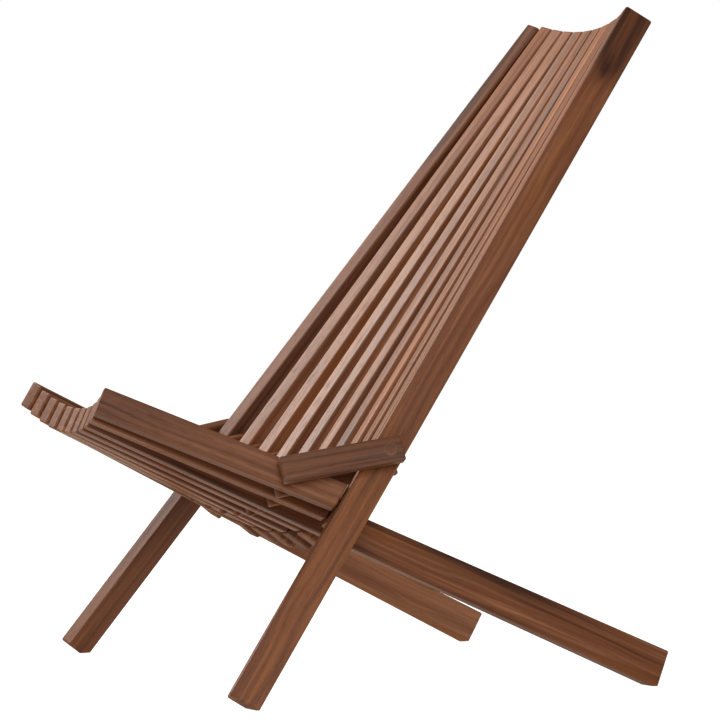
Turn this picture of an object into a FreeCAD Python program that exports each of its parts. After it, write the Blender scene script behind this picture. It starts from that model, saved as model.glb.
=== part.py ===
"""Folding deck chair made of sticks threaded on wires, in millimetres.

+X is the sitter's left, +Y is to the rear, +Z is up, and the floor is z = 0.

The chair is a fan of pages, like a book stood on its edge.  Every stick is drawn
once on the middle page (the plane x = 0) and then turned about the spine, a line
in that plane in front of the chair.  Even pages hold a back slat and a seat slat,
odd pages hold a link, so the sticks spread at the pivots and close up again at the
top of the back and at the front of the seat.  The links hang lower towards the
middle, which dishes the seat.
"""
import FreeCAD, Part
import math
import os

V = FreeCAD.Vector

# The fan of pages
SPINE_SLOPE = 35.8        # degrees above horizontal, rising to the rear
SPINE_TO_PIVOT = 552.5    # from the spine to the back pivot
PAGE_STEP = 2.30          # degrees between neighbouring pages
LAST_SLAT_PAGE = 10       # pages -10, -8 ... 10 hold slats
LEG_PAGE = 6              # the seat slats on these two pages run on as rear legs

# Places on the middle page
PIVOT_Y = -27.08          # back pivot, ahead of the middle of the chair's length
PIVOT_Z = 253.6
BACK_SLOPE = 55.8         # degrees above horizontal
SEAT_SLOPE = 23.9         # the seat rises towards its front by this much
LINK_SLOPE = 8.7          # the outermost links drop towards the front by this much
LINK_HANG = 4.5           # and the middle ones by this much more
PIVOT_SPACING = 120.0     # from the back pivot to the seat pivot

# Sections: thickness across the page, depth in the page
BACK_THICK = 22.0
BACK_DEPTH = 36.5
BOARD_DEPTH = 39.5        # of the two side boards
SEAT_THICK = 19.0         # thin enough for the seat slats to pass each other in folding
SEAT_DEPTH = 34.0
SEAT_TOP_RISE = 12.0      # from the seat pivot to the slat's top edge
LEG_END_RISE = 17.0       # the rear legs' top edges rise slightly towards the rear
LEG_END_DEPTH = 51.0      # and they deepen evenly to this
LINK_THICK = 10.0
OUTER_LINK_THICK = 15.5
LINK_TOP_RISE = 16.0      # from the pivots to the link's top edge
LINK_DEPTH = 36.0
OUTER_LINK_DEPTH = 32.0
BOARD_EDGE_RADIUS = 3.0
BACK_EDGE_RADIUS = 2.5
SEAT_EDGE_RADIUS = 2.5
LINK_EDGE_RADIUS = 2.5

# Lengths, measured along each stick from its pivot
BACK_UP = 720.5
BOARD_UP = 716.0
FRONT_LEG_DOWN = 352.5
SHORT_BACK_DOWN = 100.0
BACK_OVER_LEG = 32.0      # the back slats above the rear legs stop this far down
SEAT_FORWARD = 243.5
MIDDLE_SEAT_EXTRA = 4.0   # added to SEAT_FORWARD in the middle, where the pivot is further back
REAR_LEG_BACK = 559.0
LINK_OVERHANG = 18.0
OUTER_LINK_OVERHANG = 16.0
SEAT_TO_BACK_GAP = 2.5

# Wires, their holes and the plugs
WIRE_RADIUS = 2.0
HOLE_RADIUS = 2.8
LINK_HOLE_RADIUS = 5.2    # loose, because each link tilts on the wire as it folds
TOP_WIRE_INSET = 24.0     # below the top ends of the side boards
FRONT_WIRE_INSET = 22.0   # behind the front ends of the seat slats
PIN_PROUD = 0.4           # a seat pin stands this far out of its slat
BLIND_WALL = 7.0          # wood left outside a blind hole
PLUG_RADIUS = 7.0
PLUG_THICK = 4.5
PLUG_CLEARANCE = 0.05
CRIMP_RADIUS = 3.4
CRIMP_LENGTH = 3.5

FLOOR_CUT = 2000.0        # size of the block that trims the feet flat


def along(slope):
    """Unit vector in the middle page, at an angle from +Y towards +Z."""
    angle = math.radians(slope)
    return V(0, math.cos(angle), math.sin(angle))


SPINE = along(SPINE_SLOPE)
FROM_SPINE = along(SPINE_SLOPE - 90)
BACK_UPWARD = along(BACK_SLOPE)
BACK_FRONTWARD = along(BACK_SLOPE + 90)
SEAT_FRONTWARD = along(180 - SEAT_SLOPE)
SEAT_UPWARD = along(90 - SEAT_SLOPE)

BACK_PIVOT = V(0, PIVOT_Y, PIVOT_Z)
SPINE_POINT = BACK_PIVOT - FROM_SPINE * SPINE_TO_PIVOT
TOP_WIRE_POINT = BACK_PIVOT + BACK_UPWARD * (BOARD_UP - TOP_WIRE_INSET)

SLAT_PAGES = range(LAST_SLAT_PAGE, -LAST_SLAT_PAGE - 1, -2)
LINK_PAGES = range(LAST_SLAT_PAGE + 1, -LAST_SLAT_PAGE - 2, -2)


def middleness(page):
    """1 on the middle page, falling to 0 on the side boards' pages and beyond."""
    return max(0.0, 1 - (page / LAST_SLAT_PAGE) ** 2)


def link_frontward(page):
    return along(180 + LINK_SLOPE + LINK_HANG * middleness(page))


def link_upward(page):
    return along(90 + LINK_SLOPE + LINK_HANG * middleness(page))


def seat_pivot(page):
    return BACK_PIVOT + link_frontward(page) * PIVOT_SPACING


def seat_front(page):
    """Front end of the seat slat, on the pivot's line."""
    reach = SEAT_FORWARD + MIDDLE_SEAT_EXTRA * middleness(page)
    return seat_pivot(page) + SEAT_FRONTWARD * reach


def front_wire_point(page):
    return (seat_front(page) - SEAT_FRONTWARD * FRONT_WIRE_INSET
            + SEAT_UPWARD * (SEAT_TOP_RISE - SEAT_DEPTH / 2))


def on_page(shape, page):
    """Turn a shape drawn on the middle page onto another page."""
    turned = shape.copy()
    turned.rotate(SPINE_POINT, SPINE * -1, page * PAGE_STEP)
    return turned


def stick(corners, low, high, radius):
    """A straight-sided stick between x = low and x = high, with every edge rounded."""
    outline = Part.makePolygon([corner + V(low, 0, 0) for corner in corners + corners[:1]])
    blank = Part.Face(outline).extrude(V(high - low, 0, 0))
    return blank.makeFillet(radius, blank.Edges)


def hole(centre, radius, low, high):
    """A round tool across the page, from x = low to x = high."""
    return Part.makeCylinder(radius, high - low, centre + V(low, 0, 0), V(1, 0, 0))


def through(centre, radius):
    return hole(centre, radius, -BACK_THICK, BACK_THICK)


def blind(centre, radius, page, outside):
    """A hole open only towards the middle page; outside is how far out the other face is."""
    bottom = outside - BLIND_WALL
    if page > 0:
        return hole(centre, radius, -BACK_THICK, bottom)
    return hole(centre, radius, -bottom, BACK_THICK)


def trim_to_floor(shape):
    """Cut a foot off flat at z = 0."""
    corner = V(-FLOOR_CUT / 2, -FLOOR_CUT / 2, -FLOOR_CUT)
    return shape.cut(Part.makeBox(FLOOR_CUT, FLOOR_CUT, FLOOR_CUT, corner))


def back_depth(page):
    return BOARD_DEPTH if abs(page) == LAST_SLAT_PAGE else BACK_DEPTH


def back_slat(page):
    """Back slat; the two outermost run down to the floor as front legs."""
    is_board = abs(page) == LAST_SLAT_PAGE
    down, up, radius = SHORT_BACK_DOWN, BACK_UP, BACK_EDGE_RADIUS
    if is_board:
        down, up, radius = FRONT_LEG_DOWN, BOARD_UP, BOARD_EDGE_RADIUS
    if abs(page) == LEG_PAGE:
        down = BACK_OVER_LEG
    front = BACK_FRONTWARD * (back_depth(page) / 2)
    low_end = BACK_PIVOT - BACK_UPWARD * down
    high_end = BACK_PIVOT + BACK_UPWARD * up
    corners = [low_end + front, high_end + front, high_end - front, low_end - front]
    slat = stick(corners, -BACK_THICK / 2, BACK_THICK / 2, radius)
    slat = slat.cut(through(BACK_PIVOT, HOLE_RADIUS))
    if is_board:
        slat = slat.cut(blind(TOP_WIRE_POINT, HOLE_RADIUS, page, BACK_THICK / 2))
        return trim_to_floor(on_page(slat, page))
    return on_page(slat.cut(through(TOP_WIRE_POINT, HOLE_RADIUS)), page)


def behind_seat(page, rise):
    """Where a seat edge at this height over the pivot's line meets the back slats."""
    edge = seat_pivot(page) + SEAT_UPWARD * rise
    clear = back_depth(page) / 2 + SEAT_TO_BACK_GAP
    ahead = (edge - BACK_PIVOT).dot(BACK_FRONTWARD) - clear
    closing = -SEAT_FRONTWARD.dot(BACK_FRONTWARD)
    return edge + SEAT_FRONTWARD * (ahead / closing)


def seat_slat(page):
    """Seat slat; the third from each side runs back to the floor as a rear leg."""
    is_leg = abs(page) == LEG_PAGE
    top_front = seat_front(page) + SEAT_UPWARD * SEAT_TOP_RISE
    bottom_front = top_front - SEAT_UPWARD * SEAT_DEPTH
    if is_leg:
        rear_end = seat_pivot(page) - SEAT_FRONTWARD * REAR_LEG_BACK
        top_rear = rear_end + SEAT_UPWARD * LEG_END_RISE
        bottom_rear = top_rear - SEAT_UPWARD * LEG_END_DEPTH
    else:
        top_rear = behind_seat(page, SEAT_TOP_RISE)
        bottom_rear = behind_seat(page, SEAT_TOP_RISE - SEAT_DEPTH)
    corners = [top_front, bottom_front, bottom_rear, top_rear]
    slat = stick(corners, -SEAT_THICK / 2, SEAT_THICK / 2, SEAT_EDGE_RADIUS)
    slat = slat.cut(through(seat_pivot(page), HOLE_RADIUS))
    if abs(page) == LAST_SLAT_PAGE:
        slat = slat.cut(blind(front_wire_point(page), HOLE_RADIUS, page, SEAT_THICK / 2))
    else:
        slat = slat.cut(through(front_wire_point(page), HOLE_RADIUS))
    slat = on_page(slat, page)
    return trim_to_floor(slat) if is_leg else slat


def link_faces(page):
    """Inner and outer face of a link; the outermost are thicker towards the outside."""
    if page == LAST_SLAT_PAGE + 1:
        return -LINK_THICK / 2, OUTER_LINK_THICK - LINK_THICK / 2
    if page == -LAST_SLAT_PAGE - 1:
        return LINK_THICK / 2 - OUTER_LINK_THICK, LINK_THICK / 2
    return -LINK_THICK / 2, LINK_THICK / 2


def link(page):
    """Link from the back pivot forward to the seat pivot."""
    depth, overhang = LINK_DEPTH, LINK_OVERHANG
    if abs(page) > LAST_SLAT_PAGE:
        depth, overhang = OUTER_LINK_DEPTH, OUTER_LINK_OVERHANG
    top = link_upward(page) * LINK_TOP_RISE
    bottom = top - link_upward(page) * depth
    rear_end = BACK_PIVOT - link_frontward(page) * overhang
    front_end = seat_pivot(page) + link_frontward(page) * overhang
    corners = [rear_end + top, front_end + top, front_end + bottom, rear_end + bottom]
    low, high = link_faces(page)
    piece = stick(corners, low, high, LINK_EDGE_RADIUS)
    piece = piece.cut(through(BACK_PIVOT, LINK_HOLE_RADIUS))
    if abs(page) > LAST_SLAT_PAGE:
        side = 1 if page > 0 else -1
        outside = max(high, -low)
        recess = sorted([side * outside, 0])
        piece = piece.cut(hole(BACK_PIVOT, PLUG_RADIUS, recess[0], recess[1]))
        piece = piece.cut(blind(seat_pivot(page), HOLE_RADIUS, page, outside))
    else:
        piece = piece.cut(through(seat_pivot(page), HOLE_RADIUS))
    return on_page(piece, page)


def plug(page):
    """Round wooden plug, flush with the outer link's outside face."""
    low, high = link_faces(page)
    if page > 0:
        low = high - PLUG_THICK
    else:
        high = low + PLUG_THICK
    return on_page(hole(BACK_PIVOT, PLUG_RADIUS - PLUG_CLEARANCE, low, high), page)


def seat_pivot_pin(page):
    """Length of wire inside one seat slat, just proud of its two faces."""
    reach = SEAT_THICK / 2 + PIN_PROUD
    return on_page(hole(seat_pivot(page), WIRE_RADIUS, -reach, reach), page)


def seat_front_pin(page):
    """The same at the seat's front, where the outermost slats have blind holes."""
    inner = SEAT_THICK / 2 + PIN_PROUD
    outer = inner
    if abs(page) == LAST_SLAT_PAGE:
        outer = SEAT_THICK / 2 - BLIND_WALL - PIN_PROUD
    low, high = (-inner, outer) if page >= 0 else (-outer, inner)
    return on_page(hole(front_wire_point(page), WIRE_RADIUS, low, high), page)


def wire(centre, end_angle):
    """Wire bent to an arc about the spine, square to every page that it crosses."""
    reach = (centre - SPINE_POINT).dot(FROM_SPINE)
    axis_point = centre - FROM_SPINE * reach
    section = Part.Face(Part.Wire(Part.makeCircle(WIRE_RADIUS, centre, V(1, 0, 0))))
    section.rotate(axis_point, SPINE * -1, -end_angle)
    return section.revolve(axis_point, SPINE * -1, 2 * end_angle)


def wire_end_angle(centre, page, offset):
    """Angle from the middle page to a point offset outwards from a page."""
    reach = (centre - SPINE_POINT).dot(FROM_SPINE)
    return page * PAGE_STEP + math.degrees(math.asin(offset / reach))


def back_pivot_wire():
    """Wire through the back slats and links, with a crimped sleeve at each end."""
    page = LAST_SLAT_PAGE + 1
    shape = wire(BACK_PIVOT, wire_end_angle(BACK_PIVOT, page, CRIMP_LENGTH / 2))
    for side in (1, -1):
        low, high = sorted([side * 0.5, side * (0.5 + CRIMP_LENGTH)])
        shape = shape.fuse(on_page(hole(BACK_PIVOT, CRIMP_RADIUS, low, high), side * page))
    return shape.removeSplitter()


def back_top_wire():
    """Wire through the tops of the back slats, ending inside the side boards."""
    offset = BACK_THICK / 2 - BLIND_WALL - PIN_PROUD
    return wire(TOP_WIRE_POINT, wire_end_angle(TOP_WIRE_POINT, LAST_SLAT_PAGE, offset))


def name_of(kind, number):
    """Names count from the sitter's left; the side boards and rear legs have their own."""
    special = {
        ("back_slat", 1): "left_side_board",
        ("back_slat", 11): "right_side_board",
        ("seat_slat", 3): "left_rear_leg",
        ("seat_slat", 9): "right_rear_leg",
    }
    return special.get((kind, number), "%s_%02d" % (kind, number))


def build():
    """Every sub-part, by node name."""
    nodes = {}
    for number, page in enumerate(SLAT_PAGES, 1):
        nodes[name_of("back_slat", number)] = back_slat(page)
        nodes[name_of("seat_slat", number)] = seat_slat(page)
        nodes["seat_pivot_pin_%02d" % number] = seat_pivot_pin(page)
        nodes["seat_front_pin_%02d" % number] = seat_front_pin(page)
    for number, page in enumerate(LINK_PAGES, 1):
        nodes["link_%02d" % number] = link(page)
    nodes["left_link_plug"] = plug(LAST_SLAT_PAGE + 1)
    nodes["right_link_plug"] = plug(-LAST_SLAT_PAGE - 1)
    nodes["back_pivot_wire"] = back_pivot_wire()
    nodes["back_top_wire"] = back_top_wire()
    return nodes


os.makedirs("parts", exist_ok=True)
for node, shape in build().items():
    shape.exportStep("parts/%s.step" % node)
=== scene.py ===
"""Looks, light and camera for the folding deck chair: stained hardwood sticks on hidden steel wires.

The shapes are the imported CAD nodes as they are. Each stick gets a solid wood material whose grain
runs along that stick, so faces, edges and sawn ends all cut through one and the same block of wood.
"""
import math
import random

import bpy
import numpy as np
from mathutils import Matrix, Vector


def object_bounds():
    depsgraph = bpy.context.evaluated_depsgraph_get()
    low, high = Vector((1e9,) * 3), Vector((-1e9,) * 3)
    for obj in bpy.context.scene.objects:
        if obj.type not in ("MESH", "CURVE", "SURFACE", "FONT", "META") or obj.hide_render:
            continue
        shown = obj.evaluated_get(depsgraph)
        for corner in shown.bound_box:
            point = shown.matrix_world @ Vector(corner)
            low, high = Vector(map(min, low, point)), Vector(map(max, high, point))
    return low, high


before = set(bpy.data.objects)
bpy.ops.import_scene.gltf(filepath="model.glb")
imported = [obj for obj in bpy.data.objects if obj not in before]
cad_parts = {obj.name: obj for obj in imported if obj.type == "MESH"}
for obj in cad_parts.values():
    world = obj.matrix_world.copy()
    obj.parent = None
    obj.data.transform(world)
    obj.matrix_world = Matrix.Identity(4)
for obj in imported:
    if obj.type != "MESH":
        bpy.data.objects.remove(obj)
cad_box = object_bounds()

# Camera: a long lens, almost level, in front of the chair and to the sitter's left. Metres, degrees, mm
CAMERA_PLACE = (2.8554, -1.5036, 0.4318)
CAMERA_AZIMUTH = 61.83
CAMERA_ELEVATION = 0.50
CAMERA_ROLL = 1.58
CAMERA_LENS = 124.66
CAMERA_SENSOR = 36.0

# Wood colours, linear
DARK = (0.052, 0.017, 0.0075)
BROWN = (0.165, 0.058, 0.024)
TAN = (0.350, 0.155, 0.076)
ORANGE = (0.285, 0.098, 0.027)
GREY = (0.150, 0.102, 0.082)
KNOT_BROWN = (0.030, 0.011, 0.006)
PORE_BROWN = (0.035, 0.014, 0.008)
# Lighter tan for the arrises: partly rubbed stain, partly a painted highlight of light caught on the rounded
# edges
RUBBED_AND_HIGHLIT = (0.36, 0.185, 0.105)

# Steel colours, linear
BRIGHT_STEEL = (0.46, 0.45, 0.43)
DULL_STEEL = (0.27, 0.26, 0.25)

# Light colours
WHITE = (1.0, 1.0, 1.0)
WARM = (1.0, 0.88, 0.76)      # light thrown back by a pale floor and walls
KEY_TINT = (1.0, 0.96, 0.91)

RINGS_PER_METRE = 210.0
NO_KNOT = (0.0, 0.0, 0.0001)  # too small to show; a size of 0 would be a knot everywhere
NO_SHIFT = (0.0, 0.1, 0.0)
ARRIS_RADIUS = 0.0035         # how far in from an edge the stain is rubbed and a highlight is painted, in metres

# Each stick's random colouring is seeded from its number
SEED_STEP = 97
SEED_START = 5


# ---------------------------------------------------------------- node helpers

def feed(tree, socket, value):
    """Links value into socket if it is an output socket, and stores it as a plain value if it isn't."""
    if isinstance(value, bpy.types.NodeSocket):
        tree.links.new(value, socket)
    else:
        socket.default_value = value


def maths(tree, operation, *values):
    node = tree.nodes.new("ShaderNodeMath")
    node.operation = operation
    for socket, value in zip(node.inputs, values):
        feed(tree, socket, value)
    return node.outputs[0]


def vector_maths(tree, operation, a, b):
    node = tree.nodes.new("ShaderNodeVectorMath")
    node.operation = operation
    feed(tree, node.inputs[0], a)
    feed(tree, node.inputs[1], b)
    return node.outputs["Value" if operation == "DOT_PRODUCT" else "Vector"]


def split(tree, vector):
    node = tree.nodes.new("ShaderNodeSeparateXYZ")
    feed(tree, node.inputs[0], vector)
    return node.outputs


def join(tree, x, y, z):
    node = tree.nodes.new("ShaderNodeCombineXYZ")
    for socket, value in zip(node.inputs, (x, y, z)):
        feed(tree, socket, value)
    return node.outputs[0]


def smooth(tree, value, low, high, to_low=0.0, to_high=1.0):
    """A smooth step: to_low where value is low, and to_high where it is high."""
    node = tree.nodes.new("ShaderNodeMapRange")
    node.interpolation_type = "SMOOTHSTEP"
    for socket, v in zip(node.inputs, (value, low, high, to_low, to_high)):
        feed(tree, socket, v)
    return node.outputs[0]


def mix(tree, share, a, b):
    """Colour a, going over to b as share goes from 0 to 1."""
    node = tree.nodes.new("ShaderNodeMix")
    node.data_type = "RGBA"
    feed(tree, node.inputs["Factor"], share)
    feed(tree, node.inputs[6], a)
    feed(tree, node.inputs[7], b)
    return node.outputs[2]


def noise(tree, vector, scale, detail=2.0, roughness=0.5):
    """Noise of a vector stretched by scale, a number per metre for each of its three directions."""
    node = tree.nodes.new("ShaderNodeTexNoise")
    feed(tree, node.inputs["Vector"], vector_maths(tree, "MULTIPLY", vector, scale))
    node.inputs["Scale"].default_value = 1.0
    node.inputs["Detail"].default_value = detail
    node.inputs["Roughness"].default_value = roughness
    return node.outputs["Fac"]


def colour(value):
    """A colour socket's value, with full alpha."""
    return (*value, 1.0)


def total(tree, *values):
    """The sum of all values."""
    result = values[0]
    for value in values[1:]:
        result = maths(tree, "ADD", result, value)
    return result


def swing(tree, pattern, size):
    """A pattern from 0 to 1, made to swing evenly about 0 by size."""
    return maths(tree, "MULTIPLY", maths(tree, "SUBTRACT", pattern, 0.5), size)


# ---------------------------------------------------------------- wood

WOOD_INPUTS = {
    "Place": "NodeSocketVector",      # in the stick's own frame, in metres: along, depth, thickness
    "Facing": "NodeSocketVector",     # surface normal in the stick's own frame
    "Seed": "NodeSocketFloat",
    "Tone": "NodeSocketFloat",        # 0 dark brown, 1 light tan
    "Orange": "NodeSocketFloat",
    "Grey": "NodeSocketFloat",
    "Streaks": "NodeSocketFloat",
    "Knot": "NodeSocketVector",       # along, depth, and size
    "Shift": "NodeSocketVector",      # from this place along, to this one, the tone changes by the third
}
WOOD_OUTPUTS = {
    "Color": "NodeSocketColor",
    "Roughness": "NodeSocketFloat",
    "Height": "NodeSocketFloat",
}


def seeded_place(tree, given):
    """The place in the stick, moved by its seed so that no two sticks show the same wood."""
    seeds = join(tree, given["Seed"], given["Seed"], given["Seed"])
    shift = vector_maths(tree, "MULTIPLY", seeds, (7.31, 3.17, 5.73))
    return vector_maths(tree, "ADD", given["Place"], shift)


def knot_and_halo(tree, given, place):
    """A ragged knot, longer along the grain than across it, and the wider soft halo round it."""
    along, depth, _ = split(tree, given["Place"])
    knot_x, knot_y, knot_size = split(tree, given["Knot"])
    reach = maths(tree, "MULTIPLY", knot_size, 2.2)
    far_x = maths(tree, "DIVIDE", maths(tree, "SUBTRACT", along, knot_x), reach)
    far_y = maths(tree, "DIVIDE", maths(tree, "SUBTRACT", depth, knot_y), knot_size)
    far = total(tree, maths(tree, "MULTIPLY", far_x, far_x), maths(tree, "MULTIPLY", far_y, far_y))
    rough = smooth(tree, noise(tree, place, (60, 120, 120)), 0.2, 0.8, 0.5, 1.6)
    ragged = maths(tree, "MULTIPLY", far, rough)
    knot = maths(tree, "EXPONENT", maths(tree, "MULTIPLY", ragged, -1.0))
    halo = maths(tree, "EXPONENT", maths(tree, "MULTIPLY", far, -0.22))
    return knot, halo


def growth_rings(tree, given, place, halo):
    """Rings round a pith that runs outside the stick. They drift along it and swell round the knot."""
    _, depth, thick = split(tree, given["Place"])
    knot_size = split(tree, given["Knot"])[2]
    drift = noise(tree, place, (1.7, 9, 9), detail=1.0)
    wander = noise(tree, place, (7, 40, 40), detail=1.0)
    pith_y = maths(tree, "SUBTRACT", maths(tree, "MULTIPLY", drift, 0.06), 0.075)
    pith_z = maths(tree, "MULTIPLY", maths(tree, "SINE", given["Seed"]), 0.05)
    ring_y = maths(tree, "SUBTRACT", depth, pith_y)
    ring_z = maths(tree, "ADD", thick, pith_z)
    squared = total(tree, maths(tree, "MULTIPLY", ring_y, ring_y), maths(tree, "MULTIPLY", ring_z, ring_z))
    swell = maths(tree, "MULTIPLY", halo, maths(tree, "MULTIPLY", knot_size, 0.9))
    bent = maths(tree, "ADD", maths(tree, "SQRT", squared), swell)
    ring = total(tree, maths(tree, "MULTIPLY", bent, RINGS_PER_METRE), maths(tree, "MULTIPLY", wander, 2.6))
    return noise(tree, join(tree, ring, given["Seed"], 0.0), (1.0, 1.0, 1.0), detail=3.0, roughness=0.62)


def wood_tone(tree, given, place, rings, fibres, zones):
    """How light the wood is, from its rings, streaks and fibres, with Shift's change along the stick."""
    streaks = noise(tree, place, (3.2, 95, 95), detail=2.0)
    streak_size = maths(tree, "MULTIPLY", given["Streaks"], 1.3)
    shift_from, shift_to, shift_by = split(tree, given["Shift"])
    along = split(tree, given["Place"])[0]
    shifted = smooth(tree, maths(tree, "ADD", along, swing(tree, zones, 0.12)), shift_from, shift_to)
    return total(tree, given["Tone"], swing(tree, rings, 1.0), swing(tree, streaks, streak_size),
                 swing(tree, fibres, 0.45), maths(tree, "MULTIPLY", shifted, shift_by))


def wood_shade(tree, given, place, tone, zones):
    """The tone's colour, with warm zones turned orange and a grey veil over some streaks."""
    veils = noise(tree, place, (4.5, 60, 60), detail=3.0)
    lit = smooth(tree, tone, 0.0, 0.9)
    shade = mix(tree, smooth(tree, tone, -0.1, 0.5), colour(DARK), colour(BROWN))
    shade = mix(tree, smooth(tree, tone, 0.45, 1.15), shade, colour(TAN))
    warm = maths(tree, "MULTIPLY", smooth(tree, zones, 0.44, 0.62), given["Orange"])
    shade = mix(tree, warm, shade, mix(tree, lit, colour(DARK), colour(ORANGE)))
    veil = maths(tree, "MULTIPLY", smooth(tree, veils, 0.42, 0.66), given["Grey"])
    return mix(tree, veil, shade, mix(tree, lit, colour(DARK), colour(GREY)))


def sawn_end(tree, given):
    """1 on a sawn end, 0 on the faces along the grain."""
    facing_along = maths(tree, "ABSOLUTE", split(tree, given["Facing"])[0])
    return smooth(tree, facing_along, 0.72, 0.95)


def end_shade(tree, place, shade):
    """A sawn end soaks up more stain, in fine dots."""
    dots = smooth(tree, noise(tree, place, (30, 900, 900), detail=1.0), 0.45, 0.7)
    return mix(tree, maths(tree, "MULTIPLY", dots, 0.45), mix(tree, 0.15, shade, colour(GREY)), colour(DARK))


def rubbed_and_highlit_arris(tree, place):
    """Patches along the arrises where the stain is rubbed thin, lightened also as a painted highlight where
    the rounded edges catch light.
    """
    bevel = tree.nodes.new("ShaderNodeBevel")
    bevel.samples = 6
    bevel.inputs["Radius"].default_value = ARRIS_RADIUS
    geometry = tree.nodes.new("ShaderNodeNewGeometry")
    turned = vector_maths(tree, "DOT_PRODUCT", bevel.outputs[0], geometry.outputs["True Normal"])
    arris = smooth(tree, turned, 0.995, 0.86)
    wear_and_highlight_patches = smooth(tree, noise(tree, place, (18, 90, 90), detail=3.0), 0.36, 0.66)
    return maths(tree, "MULTIPLY", arris, maths(tree, "MULTIPLY", wear_and_highlight_patches, 0.55))


def wood_group():
    """The solid wood that all sticks share, as a node group."""
    tree = bpy.data.node_groups.new("wood", "ShaderNodeTree")
    for name, kind in WOOD_INPUTS.items():
        tree.interface.new_socket(name, in_out="INPUT", socket_type=kind)
    for name, kind in WOOD_OUTPUTS.items():
        tree.interface.new_socket(name, in_out="OUTPUT", socket_type=kind)
    given = tree.nodes.new("NodeGroupInput").outputs
    result = tree.nodes.new("NodeGroupOutput").inputs

    place = seeded_place(tree, given)
    knot, halo = knot_and_halo(tree, given, place)
    rings = growth_rings(tree, given, place, halo)
    fibres = noise(tree, place, (7, 330, 330), detail=3.0, roughness=0.62)
    pores = smooth(tree, noise(tree, place, (60, 1500, 1500), detail=1.0), 0.60, 0.74)
    zones = noise(tree, place, (2.4, 22, 22), detail=2.0)
    end = sawn_end(tree, given)

    tone = wood_tone(tree, given, place, rings, fibres, zones)
    shade = wood_shade(tree, given, place, tone, zones)
    shade = mix(tree, maths(tree, "MULTIPLY", halo, 0.35), shade, colour(DARK))
    shade = mix(tree, maths(tree, "MULTIPLY", knot, 0.85), shade, colour(KNOT_BROWN))
    shade = mix(tree, maths(tree, "MULTIPLY", pores, 0.38), shade, colour(PORE_BROWN))
    shade = mix(tree, end, shade, end_shade(tree, place, shade))
    # The arrises go lighter: rubbed stain, and a painted highlight where the rounded edges catch light
    feed(tree, result["Color"], mix(tree, rubbed_and_highlit_arris(tree, place), shade, colour(RUBBED_AND_HIGHLIT)))

    gloss = total(tree, 0.36, maths(tree, "MULTIPLY", fibres, 0.16), maths(tree, "MULTIPLY", pores, 0.15),
                  maths(tree, "MULTIPLY", end, 0.18))
    feed(tree, result["Roughness"], gloss)
    relief = total(tree, maths(tree, "MULTIPLY", fibres, 0.5), maths(tree, "MULTIPLY", rings, 0.25))
    feed(tree, result["Height"], maths(tree, "SUBTRACT", relief, maths(tree, "MULTIPLY", pores, 0.6)))
    return tree


def stick_frame(obj):
    """The stick's own axes as rows (along the grain, depth, thickness) and its middle, from its faces."""
    mesh = obj.data
    centres = np.array([p.center for p in mesh.polygons])
    areas = np.array([p.area for p in mesh.polygons])
    middle = (centres * areas[:, None]).sum(0) / areas.sum()
    spread = ((centres - middle) * areas[:, None]).T @ (centres - middle)
    along = np.linalg.eigh(spread)[1][:, 2]
    along = along * np.sign(along[2])
    normals = np.array([p.normal for p in mesh.polygons])
    facing = (normals * areas[:, None]).T @ normals
    thick = np.linalg.eigh(facing)[1][:, 2]
    depth = np.cross(thick, along)
    depth = depth / np.linalg.norm(depth) * np.sign(depth[2])
    thick = np.cross(along, depth)
    return Matrix([list(along), list(depth), list(thick)]), Vector(middle)


def wood_material(name, group, obj, look):
    """One stick's own wood: the shared group with this stick's frame, seed and colouring."""
    material = bpy.data.materials.new(name)
    material.use_nodes = True
    tree = material.node_tree
    tree.nodes.clear()
    axes, middle = stick_frame(obj)
    source = tree.nodes.new("ShaderNodeTexCoord")
    wood = tree.nodes.new("ShaderNodeGroup")
    wood.node_tree = group
    for kind, output, name_in in (("POINT", "Object", "Place"), ("VECTOR", "Normal", "Facing")):
        mapping = tree.nodes.new("ShaderNodeMapping")
        mapping.vector_type = kind
        mapping.inputs["Rotation"].default_value = axes.to_euler("XYZ")
        if kind == "POINT":
            mapping.inputs["Location"].default_value = -(axes @ middle)
        tree.links.new(source.outputs[output], mapping.inputs["Vector"])
        tree.links.new(mapping.outputs["Vector"], wood.inputs[name_in])
    for key, value in look.items():
        wood.inputs[key].default_value = value
    bump = tree.nodes.new("ShaderNodeBump")
    bump.inputs["Strength"].default_value = 0.35
    bump.inputs["Distance"].default_value = 0.0006
    tree.links.new(wood.outputs["Height"], bump.inputs["Height"])
    shader = tree.nodes.new("ShaderNodeBsdfPrincipled")
    shader.inputs["Specular IOR Level"].default_value = 0.20
    tree.links.new(wood.outputs["Color"], shader.inputs["Base Color"])
    tree.links.new(wood.outputs["Roughness"], shader.inputs["Roughness"])
    tree.links.new(bump.outputs["Normal"], shader.inputs["Normal"])
    output = tree.nodes.new("ShaderNodeOutputMaterial")
    tree.links.new(shader.outputs[0], output.inputs["Surface"])
    return material


def steel_material():
    """Drawn galvanised wire: bright, with fine scratches round it and a little dulling."""
    material = bpy.data.materials.new("drawn_steel")
    material.use_nodes = True
    tree = material.node_tree
    shader = tree.nodes["Principled BSDF"]
    place = tree.nodes.new("ShaderNodeTexCoord").outputs["Object"]
    scratches = noise(tree, place, (1800, 260, 260), detail=2.0)
    dulling = noise(tree, place, (70, 70, 70), detail=3.0)
    shade = mix(tree, smooth(tree, dulling, 0.35, 0.7), colour(BRIGHT_STEEL), colour(DULL_STEEL))
    feed(tree, shader.inputs["Base Color"], shade)
    shader.inputs["Metallic"].default_value = 1.0
    feed(tree, shader.inputs["Roughness"], smooth(tree, scratches, 0.3, 0.7, 0.28, 0.5))
    bump = tree.nodes.new("ShaderNodeBump")
    bump.inputs["Strength"].default_value = 0.2
    bump.inputs["Distance"].default_value = 0.0002
    feed(tree, bump.inputs["Height"], scratches)
    tree.links.new(bump.outputs["Normal"], shader.inputs["Normal"])
    return material


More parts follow.
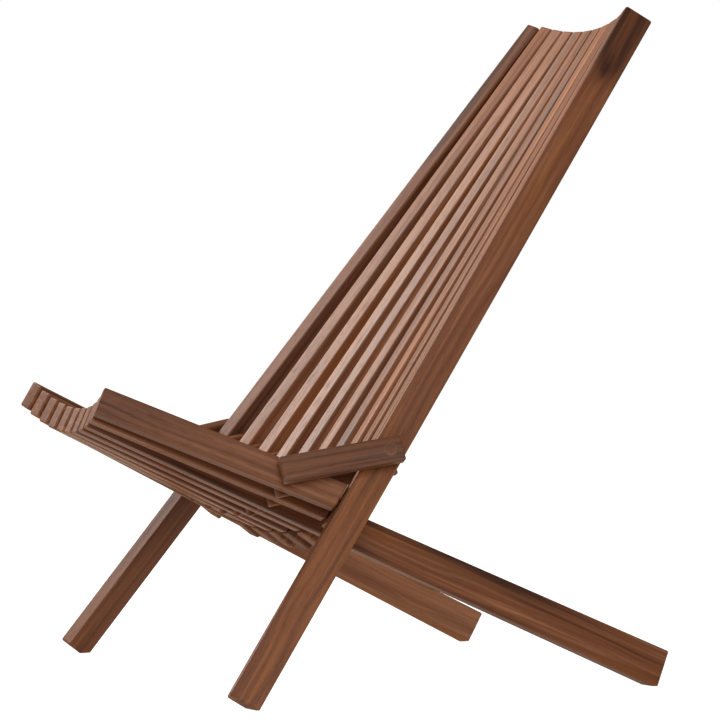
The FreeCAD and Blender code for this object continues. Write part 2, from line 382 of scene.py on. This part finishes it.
def look_of(name, number):
    """The colouring of one stick: its family's, its own small variation, and what single sticks show."""
    vary = random.Random(number * SEED_STEP + SEED_START)
    look = {
        "Seed": vary.uniform(0, 60),
        "Tone": 0.50 + vary.uniform(-0.06, 0.06),
        "Orange": vary.uniform(0.15, 0.55),
        "Grey": vary.uniform(0.05, 0.35),
        "Streaks": vary.uniform(0.5, 1.0),
        "Knot": NO_KNOT,
        "Shift": NO_SHIFT,
    }
    if name.startswith("back_slat"):
        look["Tone"] += 0.16
    if name.startswith("seat_slat"):
        look["Tone"] += 0.05
    look.update(SINGLE_LOOKS.get(name, {}))
    return look


# Sticks that stand out from the rest
SINGLE_LOOKS = {
    "left_side_board": {"Tone": 0.50, "Orange": 0.75, "Grey": 0.05, "Streaks": 0.7,
                        "Knot": (0.435, 0.003, 0.006), "Shift": (0.40, 0.45, -0.40)},
    "back_slat_05": {"Grey": 0.85, "Tone": 0.52, "Orange": 0.0},
    "left_rear_leg": {"Tone": 0.40, "Orange": 0.9, "Grey": 0.1, "Streaks": 1.6},
    "right_rear_leg": {"Tone": 0.84, "Orange": 0.35, "Grey": 0.1, "Shift": (0.05, 0.30, -0.30)},
    "right_side_board": {"Tone": 0.34, "Orange": 0.4, "Grey": 0.05},
    "link_01": {"Tone": 0.44, "Orange": 0.25, "Grey": 0.6, "Streaks": 1.1},
    "left_link_plug": {"Tone": 0.40, "Orange": 0.1, "Grey": 0.5, "Streaks": 0.4},
    "seat_slat_01": {"Tone": 0.50, "Orange": 0.8, "Grey": 0.05, "Shift": (-0.02, 0.14, -0.22)},
}

group = wood_group()
steel = steel_material()
for number, name in enumerate(sorted(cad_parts)):
    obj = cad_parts[name]
    is_steel = name.endswith("wire") or "_pin_" in name
    finish = steel if is_steel else wood_material(f"wood_{name}", group, obj, look_of(name, number))
    for slot in range(len(obj.data.materials)):
        obj.data.materials[slot] = finish


# ---------------------------------------------------------------- studio

def soft_light(name, place, aim, size, power, tint):
    """A square lamp at a place, facing its aim, that the camera doesn't see."""
    data = bpy.data.lights.new(name, "AREA")
    data.shape = "SQUARE"
    data.size = size
    data.energy = power
    data.color = tint
    lamp = bpy.data.objects.new(name, data)
    bpy.context.scene.collection.objects.link(lamp)
    lamp.location = place
    lamp.rotation_mode = "QUATERNION"
    lamp.rotation_quaternion = (Vector(aim) - Vector(place)).to_track_quat("-Z", "Y")
    lamp.visible_camera = False


def seen_or_cast(tree, colour_in, strength_in, seen, cast):
    """White at strength seen for the camera, and warm bounce light at strength cast for everything else."""
    is_camera = tree.nodes.new("ShaderNodeLightPath").outputs["Is Camera Ray"]
    feed(tree, colour_in, mix(tree, is_camera, colour(WARM), colour(WHITE)))
    feed(tree, strength_in, smooth(tree, is_camera, 0.0, 1.0, cast, seen))


def white_room(seen, cast):
    """A white background for the camera, and an even warm light from all round for everything else."""
    world = bpy.data.worlds.new("white_room")
    bpy.context.scene.world = world
    world.use_nodes = True
    tree = world.node_tree
    background = tree.nodes["Background"]
    seen_or_cast(tree, background.inputs["Color"], background.inputs["Strength"], seen, cast)


def pale_floor(side, seen, cast, paint):
    """A big pale floor, as white as the background to the camera, that lights the chair more weakly."""
    mesh = bpy.data.meshes.new("floor")
    half = side / 2
    corners = [(-half, -half, 0), (half, -half, 0), (half, half, 0), (-half, half, 0)]
    mesh.from_pydata(corners, [], [(0, 1, 2, 3)])
    floor = bpy.data.objects.new("floor", mesh)
    bpy.context.scene.collection.objects.link(floor)
    material = bpy.data.materials.new("pale_floor")
    material.use_nodes = True
    tree = material.node_tree
    shader = tree.nodes["Principled BSDF"]
    shader.inputs["Base Color"].default_value = colour((paint, paint, paint))
    shader.inputs["Roughness"].default_value = 0.9
    shader.inputs["Specular IOR Level"].default_value = 0.0
    seen_or_cast(tree, shader.inputs["Emission Color"], shader.inputs["Emission Strength"], seen, cast)
    mesh.materials.append(material)


def make_camera():
    """The camera at its named place. Azimuth 0 looks along +Y, and 90 looks along -X."""
    azimuth = math.radians(CAMERA_AZIMUTH)
    elevation = math.radians(CAMERA_ELEVATION)
    roll = math.radians(CAMERA_ROLL)
    level = math.cos(elevation)
    back = Vector((math.sin(azimuth) * level, -math.cos(azimuth) * level, math.sin(elevation)))
    right = Vector((0, 0, 1)).cross(back).normalized()
    up = back.cross(right)
    side = right * math.cos(roll) + up * math.sin(roll)
    above = up * math.cos(roll) - right * math.sin(roll)
    data = bpy.data.cameras.new("camera")
    data.lens = CAMERA_LENS
    data.sensor_width = CAMERA_SENSOR
    camera = bpy.data.objects.new("camera", data)
    bpy.context.scene.collection.objects.link(camera)
    rows = [[side[k], above[k], back[k], CAMERA_PLACE[k]] for k in range(3)]
    camera.matrix_world = Matrix(rows + [[0, 0, 0, 1]])
    bpy.context.scene.camera = camera


white_room(seen=1.0, cast=0.30)
pale_floor(side=30.0, seen=1.0, cast=0.52, paint=0.30)
middle = (cad_box[0] + cad_box[1]) / 2
soft_light("key", place=(-2.4, -1.6, 2.3), aim=middle, size=1.8, power=165, tint=KEY_TINT)
soft_light("fill", place=(3.2, -1.3, 2.0), aim=middle, size=2.0, power=66, tint=WHITE)
make_camera()
bpy.context.scene.view_settings.view_transform = "Standard"
